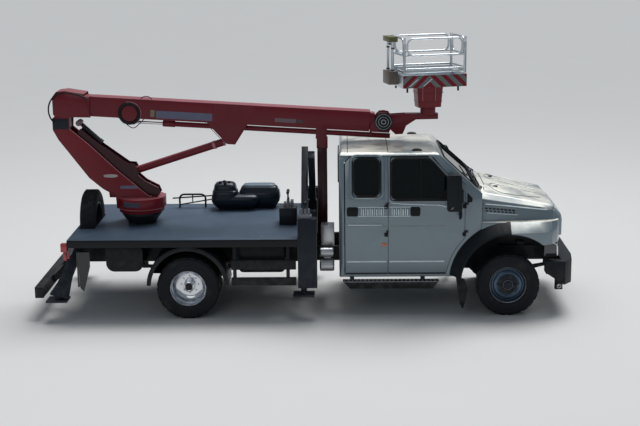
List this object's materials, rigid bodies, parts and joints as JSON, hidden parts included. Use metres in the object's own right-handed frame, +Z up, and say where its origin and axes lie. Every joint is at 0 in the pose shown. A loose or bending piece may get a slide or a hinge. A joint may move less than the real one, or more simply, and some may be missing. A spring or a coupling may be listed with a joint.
{
  "type": "cherry picker truck",
  "caption": "Bonneted crew cab truck with a telescopic boom and work platform on a rear turret, outriggers, flat deck and twin rear wheels.",
  "frame": {"origin": "on the ground below the middle of the overall length", "axes": "+X forwards, +Y to the left, +Z up"},
  "size_m": [7.64, 2.48, 3.87],
  "materials": {
    "cab_paint": "gloss",
    "boom_red": "gloss",
    "column_red": "gloss",
    "chassis_black": "satin",
    "outrigger_blue": "satin",
    "deck_plate": "satin",
    "tyre": "matte",
    "wheel_chrome": "polished",
    "wheel_blue": "gloss",
    "window_glass": "clear",
    "black_plastic": "matte",
    "headlamp": "clear",
    "platform_aluminium": "satin",
    "seat_cloth": "woven",
    "engine_iron": "rough",
    "polished_rod": "polished",
    "exhaust_steel": "brushed"
  },
  "bodies": {
    "chassis": {"frame": "chassis_black", "rear_axle": "chassis_black", "front_axle": "chassis_black", "side_guards": "chassis_black", "rear_mudguards": "chassis_black", "tanks": "chassis_black", "underrun_bar": "chassis_black", "cab_steps": "chassis_black", "pedestal": "chassis_black", "front_outrigger_frame": "chassis_black", "rear_outrigger_frame": "outrigger_blue", "deck": "deck_plate", "boom_rest": "boom_red", "cab_shell": "cab_paint", "door_hinges": "black_plastic", "front_wings": "cab_paint", "spare_wheel": "tyre", "cab_glass": "window_glass", "arch_flares": "black_plastic", "bumper": "black_plastic", "grille": "black_plastic", "toolboxes": "black_plastic", "valve_console": "black_plastic", "lamps": "headlamp", "cab_interior": "seat_cloth", "engine": "engine_iron", "exhaust": "exhaust_steel"},
    "turret": {"turret": "column_red"},
    "boom": {"boom_outer": "boom_red", "extend_rod": "polished_rod"},
    "boom_extension": {"boom_inner": "boom_red"},
    "carrier": {"basket_carrier": "boom_red"},
    "basket": {"basket": "platform_aluminium"},
    "lift_barrel": {"lift_barrel": "boom_red"},
    "lift_rod": {"lift_rod": "polished_rod"},
    "bonnet": {"bonnet": "cab_paint"},
    "knuckle_left": {"knuckle_left": "chassis_black"},
    "wheel_front_left": {"tyre_front_left": "tyre", "rim_front_left": "wheel_blue"},
    "wheel_rear_left": {"tyre_rear_left": "tyre", "rim_rear_left": "wheel_chrome"},
    "door_front_left": {"door_front_left": "cab_paint", "glass_front_left": "window_glass"},
    "door_rear_left": {"door_rear_left": "cab_paint", "glass_rear_left": "window_glass"},
    "outrigger_front_left": {"outrigger_front_left": "chassis_black"},
    "outrigger_rear_left": {"outrigger_rear_left": "outrigger_blue"},
    "knuckle_right": {"knuckle_right": "chassis_black"},
    "wheel_front_right": {"tyre_front_right": "tyre", "rim_front_right": "wheel_blue"},
    "wheel_rear_right": {"tyre_rear_right": "tyre", "rim_rear_right": "wheel_chrome"},
    "door_front_right": {"door_front_right": "cab_paint", "glass_front_right": "window_glass"},
    "door_rear_right": {"door_rear_right": "cab_paint", "glass_rear_right": "window_glass"},
    "outrigger_front_right": {"outrigger_front_right": "chassis_black"},
    "outrigger_rear_right": {"outrigger_rear_right": "outrigger_blue"}
  },
  "joints": [
    {"name": "slew", "type": "hinge", "parent": "chassis", "child": "turret", "pos_m": [-2.425, 0, 1.345], "axis": [0, 0, 1], "range_deg": [-180, 180]},
    {"name": "luff", "type": "hinge", "parent": "turret", "child": "boom", "pos_m": [-3.45951, 0, 2.8402], "axis": [0, -1, 0], "range_deg": [0, 75]},
    {"name": "extend", "type": "slide", "parent": "boom", "child": "boom_extension", "axis": [0.998, 0, -0.0628], "range_m": [0, 3]},
    {"name": "level", "type": "hinge", "parent": "boom_extension", "child": "carrier", "pos_m": [1.14, 0, 2.64], "axis": [0, -1, 0], "range_deg": [-75, 0]},
    {"name": "basket_turn", "type": "hinge", "parent": "carrier", "child": "basket", "pos_m": [1.785, 0, 2.85], "axis": [0, 0, 1], "range_deg": [-90, 75]},
    {"name": "lift_tilt", "type": "hinge", "parent": "turret", "child": "lift_barrel", "pos_m": [-2.71, 0, 1.87], "axis": [0, -1, 0], "range_deg": [0, 67.42]},
    {"name": "lift_stroke", "type": "slide", "parent": "lift_barrel", "child": "lift_rod", "axis": [0.9532, 0, 0.3024], "range_m": [0, 1.4658]},
    {"name": "bonnet_lift", "type": "hinge", "parent": "chassis", "child": "bonnet", "pos_m": [2.494, 0, 1.8], "axis": [0, -1, 0], "range_deg": [0, 50]},
    {"name": "steer_left", "type": "hinge", "parent": "chassis", "child": "knuckle_left", "pos_m": [2.87, 0.76, 0.445], "axis": [0, 0, 1], "range_deg": [-35, 35]},
    {"name": "roll_front_left", "type": "hinge", "parent": "knuckle_left", "child": "wheel_front_left", "pos_m": [2.87, 0.908, 0.445], "axis": [0, 1, 0], "continuous": true},
    {"name": "roll_rear_left", "type": "hinge", "parent": "chassis", "child": "wheel_rear_left", "pos_m": [-1.645, 0.86, 0.445], "axis": [0, 1, 0], "continuous": true},
    {"name": "door_front_left_swing", "type": "hinge", "parent": "chassis", "child": "door_front_left", "pos_m": [2.258, 0.985, 1.4], "axis": [0, 0, -1], "range_deg": [0, 70]},
    {"name": "door_rear_left_swing", "type": "hinge", "parent": "chassis", "child": "door_rear_left", "pos_m": [1.164, 0.985, 1.4], "axis": [0, 0, -1], "range_deg": [0, 70]},
    {"name": "outrigger_front_left_slide", "type": "slide", "parent": "chassis", "child": "outrigger_front_left", "axis": [0, 0.5993, -0.8005], "range_m": [0, 0.55]},
    {"name": "outrigger_rear_left_slide", "type": "slide", "parent": "chassis", "child": "outrigger_rear_left", "axis": [-0.2756, 0.636, -0.7208], "range_m": [0, 0.54]},
    {"name": "steer_right", "type": "hinge", "parent": "chassis", "child": "knuckle_right", "pos_m": [2.87, -0.76, 0.445], "axis": [0, 0, 1], "range_deg": [-35, 35]},
    {"name": "roll_front_right", "type": "hinge", "parent": "knuckle_right", "child": "wheel_front_right", "pos_m": [2.87, -0.908, 0.445], "axis": [0, 1, 0], "continuous": true},
    {"name": "roll_rear_right", "type": "hinge", "parent": "chassis", "child": "wheel_rear_right", "pos_m": [-1.645, -0.86, 0.445], "axis": [0, 1, 0], "continuous": true},
    {"name": "door_front_right_swing", "type": "hinge", "parent": "chassis", "child": "door_front_right", "pos_m": [2.258, -0.985, 1.4], "axis": [0, 0, 1], "range_deg": [0, 70]},
    {"name": "door_rear_right_swing", "type": "hinge", "parent": "chassis", "child": "door_rear_right", "pos_m": [1.164, -0.985, 1.4], "axis": [0, 0, 1], "range_deg": [0, 70]},
    {"name": "outrigger_front_right_slide", "type": "slide", "parent": "chassis", "child": "outrigger_front_right", "axis": [0, -0.5993, -0.8005], "range_m": [0, 0.55]},
    {"name": "outrigger_rear_right_slide", "type": "slide", "parent": "chassis", "child": "outrigger_rear_right", "axis": [-0.2756, -0.636, -0.7208], "range_m": [0, 0.54]}
  ],
  "couplings": [
    {"joint": "level", "follows": "luff", "ratio": -1},
    {"joint": "lift_tilt", "follows": "luff", "ratio": 0.8922},
    {"joint": "lift_stroke", "follows": "luff", "m_per_rad": 1.1122},
    {"joint": "steer_left", "follows": "steer_right", "ratio": 1}
  ]
}
